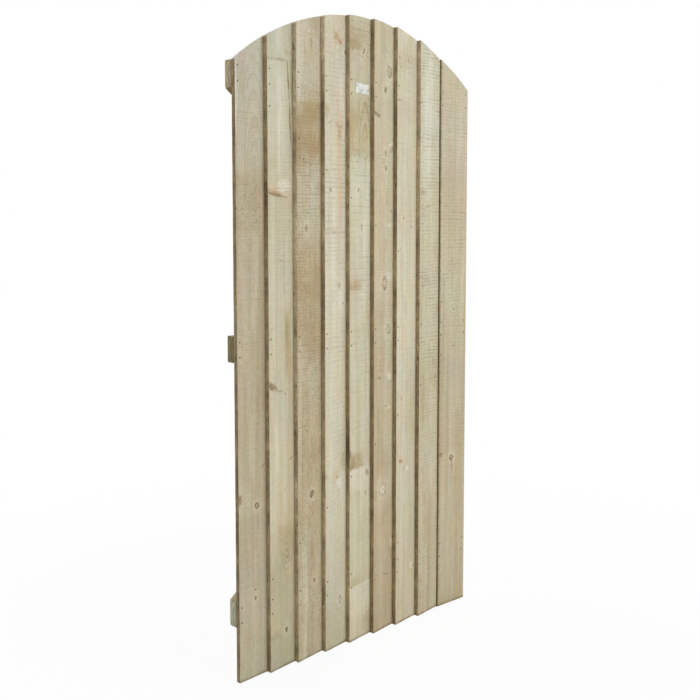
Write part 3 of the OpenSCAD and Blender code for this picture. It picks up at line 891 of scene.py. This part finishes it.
boardSix = dict(
    node="board_6", seed=9.1, edge=tone(164, 145, 112),
    edgeByHeight=[(0.0, 0.95), (0.4, 0.95), (1.4, 1.05)],
    run=[(0.04, 0.98, 0.01), (0.35, 1.03, 0.0), (0.7, 0.98, 0.025), (0.86, 0.96, 0.02), (0.96, 1.03, 0.0),
         (1.55, 1.03, -0.015)],
    deep=tone(175, 160, 130), mid=tone(192, 182, 155), pale=tone(203, 197, 174),
    green=0.35, tan=0.25, blotch=0.55, fibre=0.27, fuzz=0.28,
    grain=dict(PithX=0.07, PithDepth=0.025, Lean=0.015, Warp=0.045, Spacing=0.0055),
    rings=(0.2, 1.5, 0.35, 0.3), ringTone=tone(172, 150, 116),
    saw=(0.0088, 0.02, 0.32, 0.5, 0.6, 0.5),
    knots=[(0.075, 1.66, 0.0115, 1.35, 10, "olive", 0.6, 0.3),
           (0.07, 1.674, 0.0032, 1.4, -20, "dark", 0.7, 0),
           (0.081, 1.655, 0.0034, 1.8, 15, "dark", 0.7, 0),
           (0.074, 1.645, 0.0032, 1.5, 0, "dark", 0.6, 0),
           (0.055, 1.605, 0.0062, 1.6, -20, "umber", 0.85, 0.3),
           (0.053, 1.606, 0.003, 1.5, 0, "dark", 0.7, 0),
           (0.016, 1.531, 0.017, 0.38, -18, "umber", 0.75, 0),
           (0.006, 1.536, 0.009, 0.5, -25, "umber", 0.9, 0),
           (0.016, 1.548, 0.016, 0.9, 0, "brown", 0.35, 0), (0.079, 1.45, 0.013, 0.4, 30, "pale", 0.8, 0),
           (0.09, 1.437, 0.006, 1.6, 15, "dirt", 0.7, 0), (0.075, 1.215, 0.01, 0.8, 0, "pale", 0.6, 0),
           (0.06, 1.295, 0.0022, 9, 0, "olive", 0.8, 0), (0.052, 1.14, 0.0022, 9, 0, "dirt", 0.5, 0),
           (0.086, 1.255, 0.0036, 1.2, 0, "dirt", 0.8, 0),
           (0.056, 1.425, 0.0046, 2.2, 10, "dark", 0.75, 0.2),
           (0.081, 1.43, 0.0038, 2.0, -12, "dirt", 0.8, 0),
           (0.058, 1.379, 0.0048, 1.7, -14, "dark", 0.75, 0.2),
           (0.052, 1.046, 0.0105, 1.45, -8, "pink", 0.6, 0.45),
           (0.053, 1.027, 0.006, 0.9, 0, "umber", 0.7, 0), (0.074, 1.066, 0.015, 1.0, 0, "pale", 0.5, 0),
           (0.062, 1.08, 0.0028, 1.0, 0, "dark", 0.65, 0),
           (0.078, 1.079, 0.0026, 1.0, 0, "dark", 0.55, 0),
           (0.071, 0.907, 0.0085, 1.3, 0, "pink", 0.45, 0.4),
           (0.072, 0.897, 0.005, 0.7, 15, "umber", 0.6, 0),
           (0.045, 0.428, 0.0155, 1.1, 0, "pink", 0.95, 0.2),
           (0.044, 0.429, 0.0125, 1.1, 0, "pale", 0.95, 0),
           (0.046, 0.43, 0.0046, 1.2, 0, "umber", 0.6, 0), (0.01, 0.418, 0.012, 1.6, 0, "brown", 0.5, 0),
           (0.058, 0.423, 0.006, 1.6, 20, "dirt", 0.5, 0), (0.043, 0.407, 0.009, 0.6, 0, "pink", 0.6, 0),
           (0.028, 0.766, 0.007, 0.6, 0, "umber", 0.8, 0), (0.025, 0.787, 0.0016, 7, 0, "dirt", 0.6, 0),
           (0.077, 0.766, 0.015, 0.8, -25, "pale", 0.8, 0),
           (0.086, 0.749, 0.007, 0.4, -30, "dirt", 0.8, 0),
           (0.06, 0.679, 0.01, 0.18, -12, "dirt", 0.85, 0), (0.074, 0.674, 0.011, 0.8, 0, "pale", 0.6, 0),
           (0.087, 0.258, 0.006, 2.5, 0, "pale", 0.8, 0), (0.082, 0.238, 0.015, 1.6, 0, "dirt", 0.3, 0),
           (0.063, 0.166, 0.014, 0.16, -18, "umber", 0.7, 0),
           (0.014, 0.176, 0.008, 0.3, -15, "dirt", 0.7, 0)],
    stains=[(0.0, 0.4, 0.08, 0.25, 0.25, 0.2, "brown", 0.35)],
    grit=[(1.64, 1.69, 0.4), (1.36, 1.43, 0.3), (1.09, 1.12, 0.4)],
    streaks=[(0.018, 0.03, 0.0, 1.8, "pink", 0.28), (0.036, 0.014, 0.1, 0.6, "pink", 0.3),
             (0.037, 0.014, 1.22, 1.54, "pink", 0.6), (0.078, 0.022, 0.4, 1.8, "green", 0.65),
             (0.022, 0.011, 0.42, 0.72, "brown", 0.85), (0.038, 0.009, 0.44, 0.68, "brown", 0.7),
             (0.08, 0.02, 0.04, 0.34, "olive", 0.5)],
)
boardSeven = dict(
    node="board_7", seed=10.7, edge=tone(170, 153, 120),
    edgeByHeight=[(0.0, 1.0), (0.48, 0.9), (0.7, 1.05), (0.88, 0.95), (1.06, 1.1), (1.38, 0.9), (1.66, 1.05)],
    run=[(0.05, 1.0, 0.025), (0.35, 0.98, 0.012), (0.66, 0.99, 0.01), (0.78, 1.01, 0.0),
         (0.9, 1.06, -0.01), (1.1, 1.05, -0.01), (1.25, 0.96, 0.015), (1.36, 0.96, 0.0),
         (1.56, 1.0, -0.02)],
    deep=tone(189, 179, 151), mid=tone(206, 199, 177), pale=tone(215, 211, 193),
    green=0.3, tan=0.25, blotch=0.62, fibre=0.2, fuzz=0.22,
    grain=dict(PithX=0.04, PithDepth=0.03, Lean=0.01, Warp=0.035, Spacing=0.006),
    rings=(0.2, 1.4, 0.35, 0.25), ringTone=tone(180, 163, 128),
    saw=(0.0087, 0.03, 0.27, 0.8, 0.6, 0.75),
    knots=[(0.036, 1.235, 0.0036, 1.3, 0, "dark", 0.9, 0.3),
           (0.075, 1.21, 0.0042, 1.4, 20, "dirt", 0.6, 0), (0.018, 1.145, 0.003, 1.0, 0, "dirt", 0.8, 0),
           (0.022, 1.225, 0.018, 1.6, 0, "pink", 0.35, 0), (0.057, 1.7, 0.0026, 3.0, 10, "dirt", 0.9, 0),
           (0.012, 1.703, 0.005, 1.2, 0, "dirt", 0.6, 0), (0.028, 0.695, 0.0044, 1.2, 0, "dirt", 0.8, 0),
           (0.028, 0.506, 0.019, 0.7, -10, "pink", 0.9, 0),
           (0.023, 0.503, 0.0095, 0.65, 0, "rust", 0.8, 0),
           (0.057, 0.476, 0.0085, 1.2, 0, "pale", 1.0, 0), (0.045, 0.481, 0.006, 1.4, 0, "dirt", 0.35, 0),
           (0.012, 0.254, 0.0075, 0.4, -25, "umber", 0.7, 0),
           (0.082, 0.166, 0.013, 0.8, 0, "pale", 0.8, 0), (0.093, 0.163, 0.0045, 1.5, 0, "dirt", 0.8, 0),
           (0.02, 1.58, 0.003, 1.2, 0, "dirt", 0.7, 0)],
    stains=[(0.0, 0.25, 0.08, 0.15, 0.15, 0.2, "olive", 0.15),
            (1.54, 1.72, 0.06, 0.06, 0.06, 0.2, "olive", 0.2),
            (1.68, 1.71, 0.03, 0.01, 0.01, 0.2, "brown", 0.2)],
    grit=[(1.67, 1.715, 0.5), (1.56, 1.64, 0.2)],
    streaks=[(0.03, 0.014, 0.1, 0.9, "pale", 0.4), (0.065, 0.012, 0.3, 1.2, "green", 0.45),
             (0.086, 0.028, 0.5, 0.78, "olive", 0.55), (0.054, 0.024, 0.72, 0.94, "pink", 0.3)],
)
boardEight = dict(
    node="board_8", seed=12.5, edge=tone(179, 163, 132),
    edgeByHeight=[(0.0, 0.95), (0.42, 0.85), (0.7, 0.95), (1.1, 1.05), (1.66, 1.15)],
    run=[(0.05, 1.01, 0.0), (0.25, 0.97, 0.03), (0.36, 1.03, 0.01), (0.46, 1.05, -0.01),
         (0.65, 1.02, 0.0), (0.75, 0.96, 0.01), (1.25, 1.0, 0.0), (1.36, 1.02, -0.02),
         (1.5, 0.99, -0.035)],
    deep=tone(178, 166, 136), mid=tone(199, 192, 167), pale=tone(213, 209, 190),
    green=0.3, tan=0.4, blotch=0.72, fibre=0.2, fuzz=0.28,
    grain=dict(PithX=0.05, PithDepth=0.03, Lean=0.008, Warp=0.03, Spacing=0.006),
    rings=(0.2, 1.4, 0.15, 0.15), ringTone=tone(176, 160, 124),
    saw=(0.0106, -0.01, 0.68, 0.1, 0.52, 1.0),
    knots=[(0.018, 1.315, 0.015, 0.8, -10, "pink", 0.7, 0.15),
           (0.016, 1.312, 0.01, 0.7, 0, "brown", 0.8, 0), (0.058, 1.341, 0.007, 1.5, 0, "pink", 0.9, 0),
           (0.045, 1.272, 0.015, 0.22, 8, "dirt", 0.7, 0),
           (0.02, 1.262, 0.011, 0.25, -12, "dirt", 0.55, 0),
           (0.078, 0.79, 0.012, 1.2, 0, "dirt", 0.35, 0), (0.085, 0.745, 0.006, 1.4, 0, "dirt", 0.6, 0),
           (0.022, 0.748, 0.007, 1.0, 0, "dirt", 0.4, 0), (0.03, 0.205, 0.022, 1.6, 0, "green", 0.5, 0)],
    stains=[(0.0, 0.42, 0.08, 0.25, 0.25, 0.2, "brown", 0.3),
            (1.42, 1.76, 0.06, 0.1, 0.1, 0.2, "pale", 0.4),
            (0.58, 0.8, 0.06, 0.08, 0.06, 0.2, "olive", 0.3)],
    grit=[(1.25, 1.35, 0.3), (0.1, 0.5, 0.15)],
    streaks=[(0.042, 0.03, 1.32, 1.76, "pale", 0.6), (0.07, 0.02, 0.5, 1.1, "green", 0.4),
             (0.06, 0.018, 0.84, 1.08, "grey", 0.7), (0.064, 0.02, 0.54, 0.74, "grey", 0.7),
             (0.018, 0.018, 0.56, 0.8, "brown", 0.6), (0.072, 0.02, 0.34, 0.54, "pale", 0.45),
             (0.058, 0.01, -0.06, 0.24, "dirt", 0.3), (0.04, 0.012, -0.06, 0.26, "pale", 0.3)],
)
boardNine = dict(
    # the dark edge tone is partly painted shade
    node="board_9", seed=14.3, edge=tone(108, 94, 64),
    edgeByHeight=[(0.0, 1.0), (0.2, 1.1), (0.54, 0.8), (0.84, 1.05), (1.42, 0.95), (1.66, 1.2)],
    run=[(0.04, 0.98, 0.01), (0.16, 1.06, 0.0), (0.3, 1.03, 0.0), (0.46, 0.99, 0.035), (0.66, 0.95, 0.02),
         (0.76, 0.92, 0.01), (0.9, 0.98, -0.005), (1.06, 1.06, -0.01), (1.25, 0.98, 0.025),
         (1.36, 0.95, 0.01), (1.5, 1.0, 0.0)],
    deep=tone(173, 159, 128), mid=tone(192, 183, 157), pale=tone(204, 197, 173),
    green=0.2, tan=0.35, blotch=0.3, fibre=0.2, fuzz=0.22,
    grain=dict(PithX=0.09, PithDepth=0.03, Lean=0.012, Warp=0.04, Spacing=0.0055),
    rings=(0.2, 1.2, 0.3, 0.25), ringTone=tone(168, 151, 116),
    saw=(0.0105, 0.0, 0.58, 0.4, 0.55, 0.7),
    knots=[(0.062, 0.475, 0.0072, 1.25, 0, "rust", 0.5, 0.95),
           (0.064, 0.452, 0.0056, 2.6, 0, "rust", 0.55, 0), (0.011, 0.49, 0.011, 0.8, 0, "rust", 0.85, 0),
           # the first mark on the next line, a long dark line down the left edge, is painted shadow
           (0.001, 0.85, 0.0055, 400, 0, "dark", 0.85, 0), (0.06, 0.96, 0.0032, 1.3, 0, "dirt", 0.8, 0.2),
           (0.06, 0.85, 0.003, 1.0, 0, "dirt", 0.7, 0)],
    stains=[(0.0, 0.45, 0.08, 0.25, 0.25, 0.2, "brown", 0.2),
            (1.44, 1.72, 0.06, 0.08, 0.08, 0.2, "grey", 0.4),
            (-0.02, 0.012, 0.03, 0.004, 0.03, 0.2, "olive", 0.6)],
    grit=[],
    streaks=[(0.06, 0.02, 0.3, 1.0, "pale", 0.25), (0.09, 0.02, 1.45, 1.66, "pink", 0.4)],
)
boards = (boardOne, boardTwo, boardThree, boardFour, boardFive, boardSix, boardSeven, boardEight, boardNine)
for look in boards:
    buildBoard(look)
print("boards built:", len(boards))

# rails and braces: the same rough timber, a little browner, its grain along its length
framing = dict(
    deep=tone(162, 146, 112), mid=tone(188, 175, 144), pale=tone(203, 194, 168),
    green=0.4, tan=0.45, blotch=0.4, fibre=0.28, fuzz=0.26,
    rings=(0.1, 0.7, 0.5, 0.35), ringTone=tone(158, 137, 98),
    saw=(0.0085, 0.03, 0.5, 0.3, 1.0, 1.0), stains=[], streaks=[], grit=[], run=[],
)
railShape = dict(
    cuts=(90, 3, 5), arris=0.0016, roughness=0.0007, pace=14.0,
    endPith=(0.035, 0.03), endSpacing=0.013, endLate=0.9,
)
braceShape = dict(
    cuts=(5, 3, 90), arris=0.0016, roughness=0.0007, pace=14.0,
    # the darker tone below is painted shade for the undersides of the braces
    under=tone(128, 110, 80), underShadeLevels=[(0.2, 1.0), (0.9, 0.95), (1.5, 1.0)],
)


def timberLook(timber):
    pithX = 0.03 + 0.01 * math.sin(timber["seed"])
    grain = dict(PithX=pithX, PithDepth=0.02, Lean=0.03, Warp=0.05, Spacing=0.0052)
    return dict(framing, grain=grain, knots=timber["knots"])


def pickRail(face):  # ends, then front, back and long sides
    return 1 if abs(face.normal.x) > 0.6 else 0


def pickBrace(face):  # level ends, then the slanting underside, given painted shade, then the rest
    if abs(face.normal.z) > 0.9:
        return 1
    return 2 if face.normal.z < -0.5 else 0


def buildRail(rail):
    node = rail["node"]
    low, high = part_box(node)
    span = high - low

    def place(s, d, h):
        return low + Vector((s * span.x, d * span.y, h * span.z))

    block = timberBlock(railShape["cuts"], place, railShape["arris"])
    roughen(block, (low + high) / 2, railShape["roughness"], railShape["pace"], rail["seed"])
    lying = (low.z + span.z, rail["seed"], -low.x)  # a turn about Y lays the grain along X
    wood = sawnWood(node + "Wood", timberLook(rail), lying, (0, math.radians(-90), 0))
    pithZ, pithY = railShape["endPith"]
    end = sawnEnd(node + "End", rail["end"], (pithZ - low.z, pithY, 0), (0, math.radians(90), 0),
                  railShape["endSpacing"], railShape["endLate"])
    finishPiece(node + "Wood", block, [wood, end], pickRail, node)


def buildBrace(brace):
    node = brace["node"]
    corners = [v.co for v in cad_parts[node].data.vertices]
    low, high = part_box(node)
    foot = [c.x for c in corners if c.z < low.z + endTolerance]
    head = [c.x for c in corners if c.z > high.z - endTolerance]

    def place(s, d, h):
        footX = min(foot) + s * (max(foot) - min(foot))
        headX = min(head) + s * (max(head) - min(head))
        x = footX + h * (headX - footX)
        return Vector((x, low.y + d * (high.y - low.y), low.z + h * (high.z - low.z)))

    block = timberBlock(braceShape["cuts"], place, braceShape["arris"])
    roughen(block, (low + high) / 2, braceShape["roughness"], braceShape["pace"], brace["seed"])
    lean = math.atan2(min(head) - min(foot), high.z - low.z)
    turned = Matrix.Rotation(-lean, 3, "Y") @ Vector((-min(foot), 0, -low.z))
    standing = (turned.x, brace["seed"], turned.z)
    wood = sawnWood(node + "Wood", timberLook(brace), standing, (0, -lean, 0))
    finishPiece(node + "Wood", block, [wood, braceEnd, braceUnderShade], pickBrace, node)


topRail = dict(
    node="top_rail", seed=21.0, end=tone(194, 181, 146),
    knots=[(0.03, 0.31, 0.008, 1.5, 10, "rust", 0.7, 0.6), (0.05, 0.66, 0.005, 1.6, -15, "dark", 0.7, 0.5)],
)
middleRail = dict(
    node="middle_rail", seed=23.4, end=tone(138, 130, 97),
    knots=[(0.04, 0.22, 0.0075, 1.5, 0, "rust", 0.7, 0.6), (0.02, 0.58, 0.009, 1.4, 20, "olive", 0.5, 0.9)],
)
bottomRail = dict(
    node="bottom_rail", seed=25.8, end=tone(190, 187, 161),
    knots=[(0.02, 0.44, 0.008, 1.4, -10, "rust", 0.8, 0.5), (0.05, 0.78, 0.0045, 1.6, 0, "dark", 0.7, 0.5)],
)
upperBrace = dict(
    node="upper_brace", seed=28.2,
    knots=[(0.06, 0.35, 0.008, 1.5, 0, "rust", 0.7, 0.6), (0.04, 0.74, 0.0065, 1.5, 15, "olive", 0.5, 0.8)],
)
lowerBrace = dict(
    node="lower_brace", seed=30.6,
    knots=[(0.05, 0.25, 0.0075, 1.5, 0, "rust", 0.7, 0.6), (0.03, 0.62, 0.0085, 1.4, -20, "olive", 0.5, 0.8)],
)
braceEnd = sawnEnd("braceEnd", tone(196, 182, 148), (0.03, 0.03, 0))
# painted shade for every face of the braces that looks down
braceUnderShade = sawnEdge("braceUnderShade", braceShape["under"], upperBrace["seed"], braceShape["underShadeLevels"])
for rail in (topRail, middleRail, bottomRail):
    buildRail(rail)
for brace in (upperBrace, lowerBrace):
    buildBrace(brace)
print("rails and braces built")


# nails: dull zinc gone grey, with a trace of rust
def dullNail():
    material, sheet, shader = newMaterial("dullNail", 0.6, 0.3)
    spot = sheet.spot((0, 0, 0))
    cloud = sheet.noise(spot, (420, 420, 420), 2.0)
    stops = [(0.35, tone(72, 60, 46)), (0.5, tone(94, 85, 70)), (0.65, tone(116, 106, 90))]
    colour = sheet.ramp(cloud, stops)
    sheet.feed(shader.inputs["Base Color"], colour)
    shader.inputs["Metallic"].default_value = 0.35
    bumpOn(sheet, shader, sheet.noise(spot, (900, 900, 900), 2.0), 0.3, 0.0003)
    return material


nailShape = dict(
    head=0.0025, rim=0.0003, thick=0.0012, shank=0.0013, length=0.0346, point=0.003, sides=10, weld=0.00002,
)
nailMetal = dullNail()


def buildNails(node):
    block = bmesh.new()
    size = nailShape
    profile = [
        (0.0, 0.0), (size["head"] - size["rim"], 0.0), (size["head"], size["rim"]),
        (size["head"], size["thick"]), (size["shank"], size["thick"]),
        (size["shank"], size["length"] - size["point"]), (0.0, size["length"]),
    ]
    for head in heads[node]:
        line = [block.verts.new(head + Vector((reach, down, 0))) for reach, down in profile]
        edges = [block.edges.new(pair) for pair in zip(line, line[1:])]
        bmesh.ops.spin(block, geom=line + edges, cent=head, axis=(0, 1, 0), angle=math.tau,
                       steps=size["sides"], use_merge=True, use_duplicate=False)
    bmesh.ops.remove_doubles(block, verts=block.verts, dist=size["weld"])
    bmesh.ops.recalc_face_normals(block, faces=block.faces)
    finishPiece(node + "Heads", block, [nailMetal], lambda face: 0, node)


for node in nailNodes:
    buildNails(node)
print("nails driven")


# a small blank paper tag on the fifth board
def tagPaper():
    material, sheet, shader = newMaterial("tagPaper", 0.6, 0.3)
    spot = sheet.spot((0, 0, 0))
    cloud = sheet.noise(spot, (60, 60, 60), 3.0)
    stops = [(0.34, tone(184, 187, 180)), (0.52, tone(214, 215, 208)), (0.7, tone(226, 226, 220))]
    colour = sheet.ramp(cloud, stops)
    sheet.feed(shader.inputs["Base Color"], colour)
    bumpOn(sheet, shader, cloud, 0.2, 0.0006)
    return material


tag = dict(
    node="board_5", x=0.0585, z=1.6, width=0.058, height=0.028, tilt=-2.0,
    lift=0.0006, curl=0.00384, curlFrom=0.35, thick=0.0003, grid=(12, 8),
)


def buildTag():
    frontLeft, frontRight, backLeft, _ = boardCorners(tag["node"])
    slope = (frontRight.y - frontLeft.y) / (frontRight.x - frontLeft.x)
    tilt = Matrix.Rotation(math.radians(tag["tilt"]), 2)
    block = bmesh.new()
    columns, rows = tag["grid"]
    bmesh.ops.create_grid(block, x_segments=columns, y_segments=rows, size=0.5)
    for vert in block.verts:
        corner = max(0.0, vert.co.x - vert.co.y - tag["curlFrom"])  # the lower right corner stands off
        flat = tilt @ Vector((vert.co.x * tag["width"], vert.co.y * tag["height"]))
        x = backLeft.x + tag["x"] + flat.x
        y = frontLeft.y + (x - frontLeft.x) * slope - tag["lift"] - tag["curl"] * corner * corner
        vert.co = (x, y, tag["z"] + flat.y)
    block.normal_update()
    bmesh.ops.solidify(block, geom=block.faces, thickness=tag["thick"])
    bmesh.ops.recalc_face_normals(block, faces=block.faces)
    finishPiece("paperTag", block, [tagPaper()], lambda face: 0, None)


buildTag()
print("tag fixed")


# pale floor that turns to white away from the gate, and still takes its shadow
floor = dict(
    radius=9.0, sides=96, drop=0.0004, clear=0.7, white=2.2, lift=0.93,
    shades=[(0.3, (0.86, 0.86, 0.85, 1)), (0.7, (0.88, 0.88, 0.87, 1))],
)


def paleFloor():
    material = bpy.data.materials.new("paleFloor")
    material.use_nodes = True
    sheet = NodeSheet(material.node_tree)
    sheet.tree.nodes.remove(sheet.tree.nodes["Principled BSDF"])
    spot = sheet.spot((0, 0, 0))
    away = sheet.add("VectorMath", operation="LENGTH")
    sheet.feed(away.inputs[0], spot)
    cloth = sheet.add("BsdfDiffuse")
    sheet.feed(cloth.inputs["Color"], sheet.ramp(sheet.noise(spot, (30, 30, 30)), floor["shades"]))
    glow = sheet.add("Emission")
    fade = sheet.span(away.outputs["Value"], floor["clear"], floor["white"], floor["lift"], 1.0)
    shown = sheet.blend(sheet.math("MULTIPLY", sheet.seen(), fade), cloth.outputs[0], glow.outputs[0])
    sheet.feed(sheet.tree.nodes["Material Output"].inputs["Surface"], shown)
    return material


def buildFloor():
    disc = bmesh.new()
    bmesh.ops.create_circle(disc, cap_ends=True, segments=floor["sides"], radius=floor["radius"])
    bmesh.ops.translate(disc, verts=disc.verts, vec=(0, 0, cadBox[0].z - floor["drop"]))
    mesh = bpy.data.meshes.new("floor")
    disc.to_mesh(mesh)
    disc.free()
    mesh.materials.append(paleFloor())
    made = bpy.data.objects.new("floor", mesh)
    scene.collection.objects.link(made)


buildFloor()

# soft light all round, three lamps, and white behind the gate
studio = dict(
    ambient=(1.0, 0.99, 0.97, 1), ambientPower=0.42,
    lamps=[("key", (0.9, -3.6, 2.6), (0, 0, 1.0), 2.4, 96), ("back", (-1.8, 3.4, 2.4), (0, 0, 1.0), 2.4, 84),
           ("side", (3.6, 0.4, 2.2), (0, 0, 1.0), 1.8, 26)],
)


def lightWorld():
    world = bpy.data.worlds.new("studio")
    scene.world = world
    world.use_nodes = True
    sheet = NodeSheet(world.node_tree)
    soft = sheet.tree.nodes["Background"]
    soft.inputs["Color"].default_value = studio["ambient"]
    soft.inputs["Strength"].default_value = studio["ambientPower"]
    white = sheet.add("Background")
    white.inputs["Color"].default_value = (1, 1, 1, 1)
    shown = sheet.blend(sheet.seen(), soft.outputs[0], white.outputs[0])
    sheet.feed(sheet.tree.nodes["World Output"].inputs["Surface"], shown)


def buildLamps():
    for name, place, target, size, power in studio["lamps"]:
        lamp = bpy.data.lights.new(name, "AREA")
        lamp.size = size
        lamp.energy = power
        made = bpy.data.objects.new(name, lamp)
        made.location = place
        made.rotation_euler = (Vector(target) - Vector(place)).to_track_quat("-Z", "Y").to_euler()
        scene.collection.objects.link(made)


lightWorld()
buildLamps()
print("floor and light ready")

# the camera stands to the left, a little above the middle rail
eye = dict(place=(-1.9385, -2.0688, 1.219), yaw=42.566, pitch=4.508, lens=50.449, sensor=36.0, shift=-0.07)


def buildCamera():
    lens = bpy.data.cameras.new("eye")
    lens.lens = eye["lens"]
    lens.sensor_width = eye["sensor"]
    lens.shift_y = eye["shift"]
    made = bpy.data.objects.new("eye", lens)
    made.location = eye["place"]
    made.rotation_euler = (math.radians(90 - eye["pitch"]), 0, math.radians(-eye["yaw"]))
    scene.collection.objects.link(made)
    scene.camera = made


buildCamera()
print("camera set up")
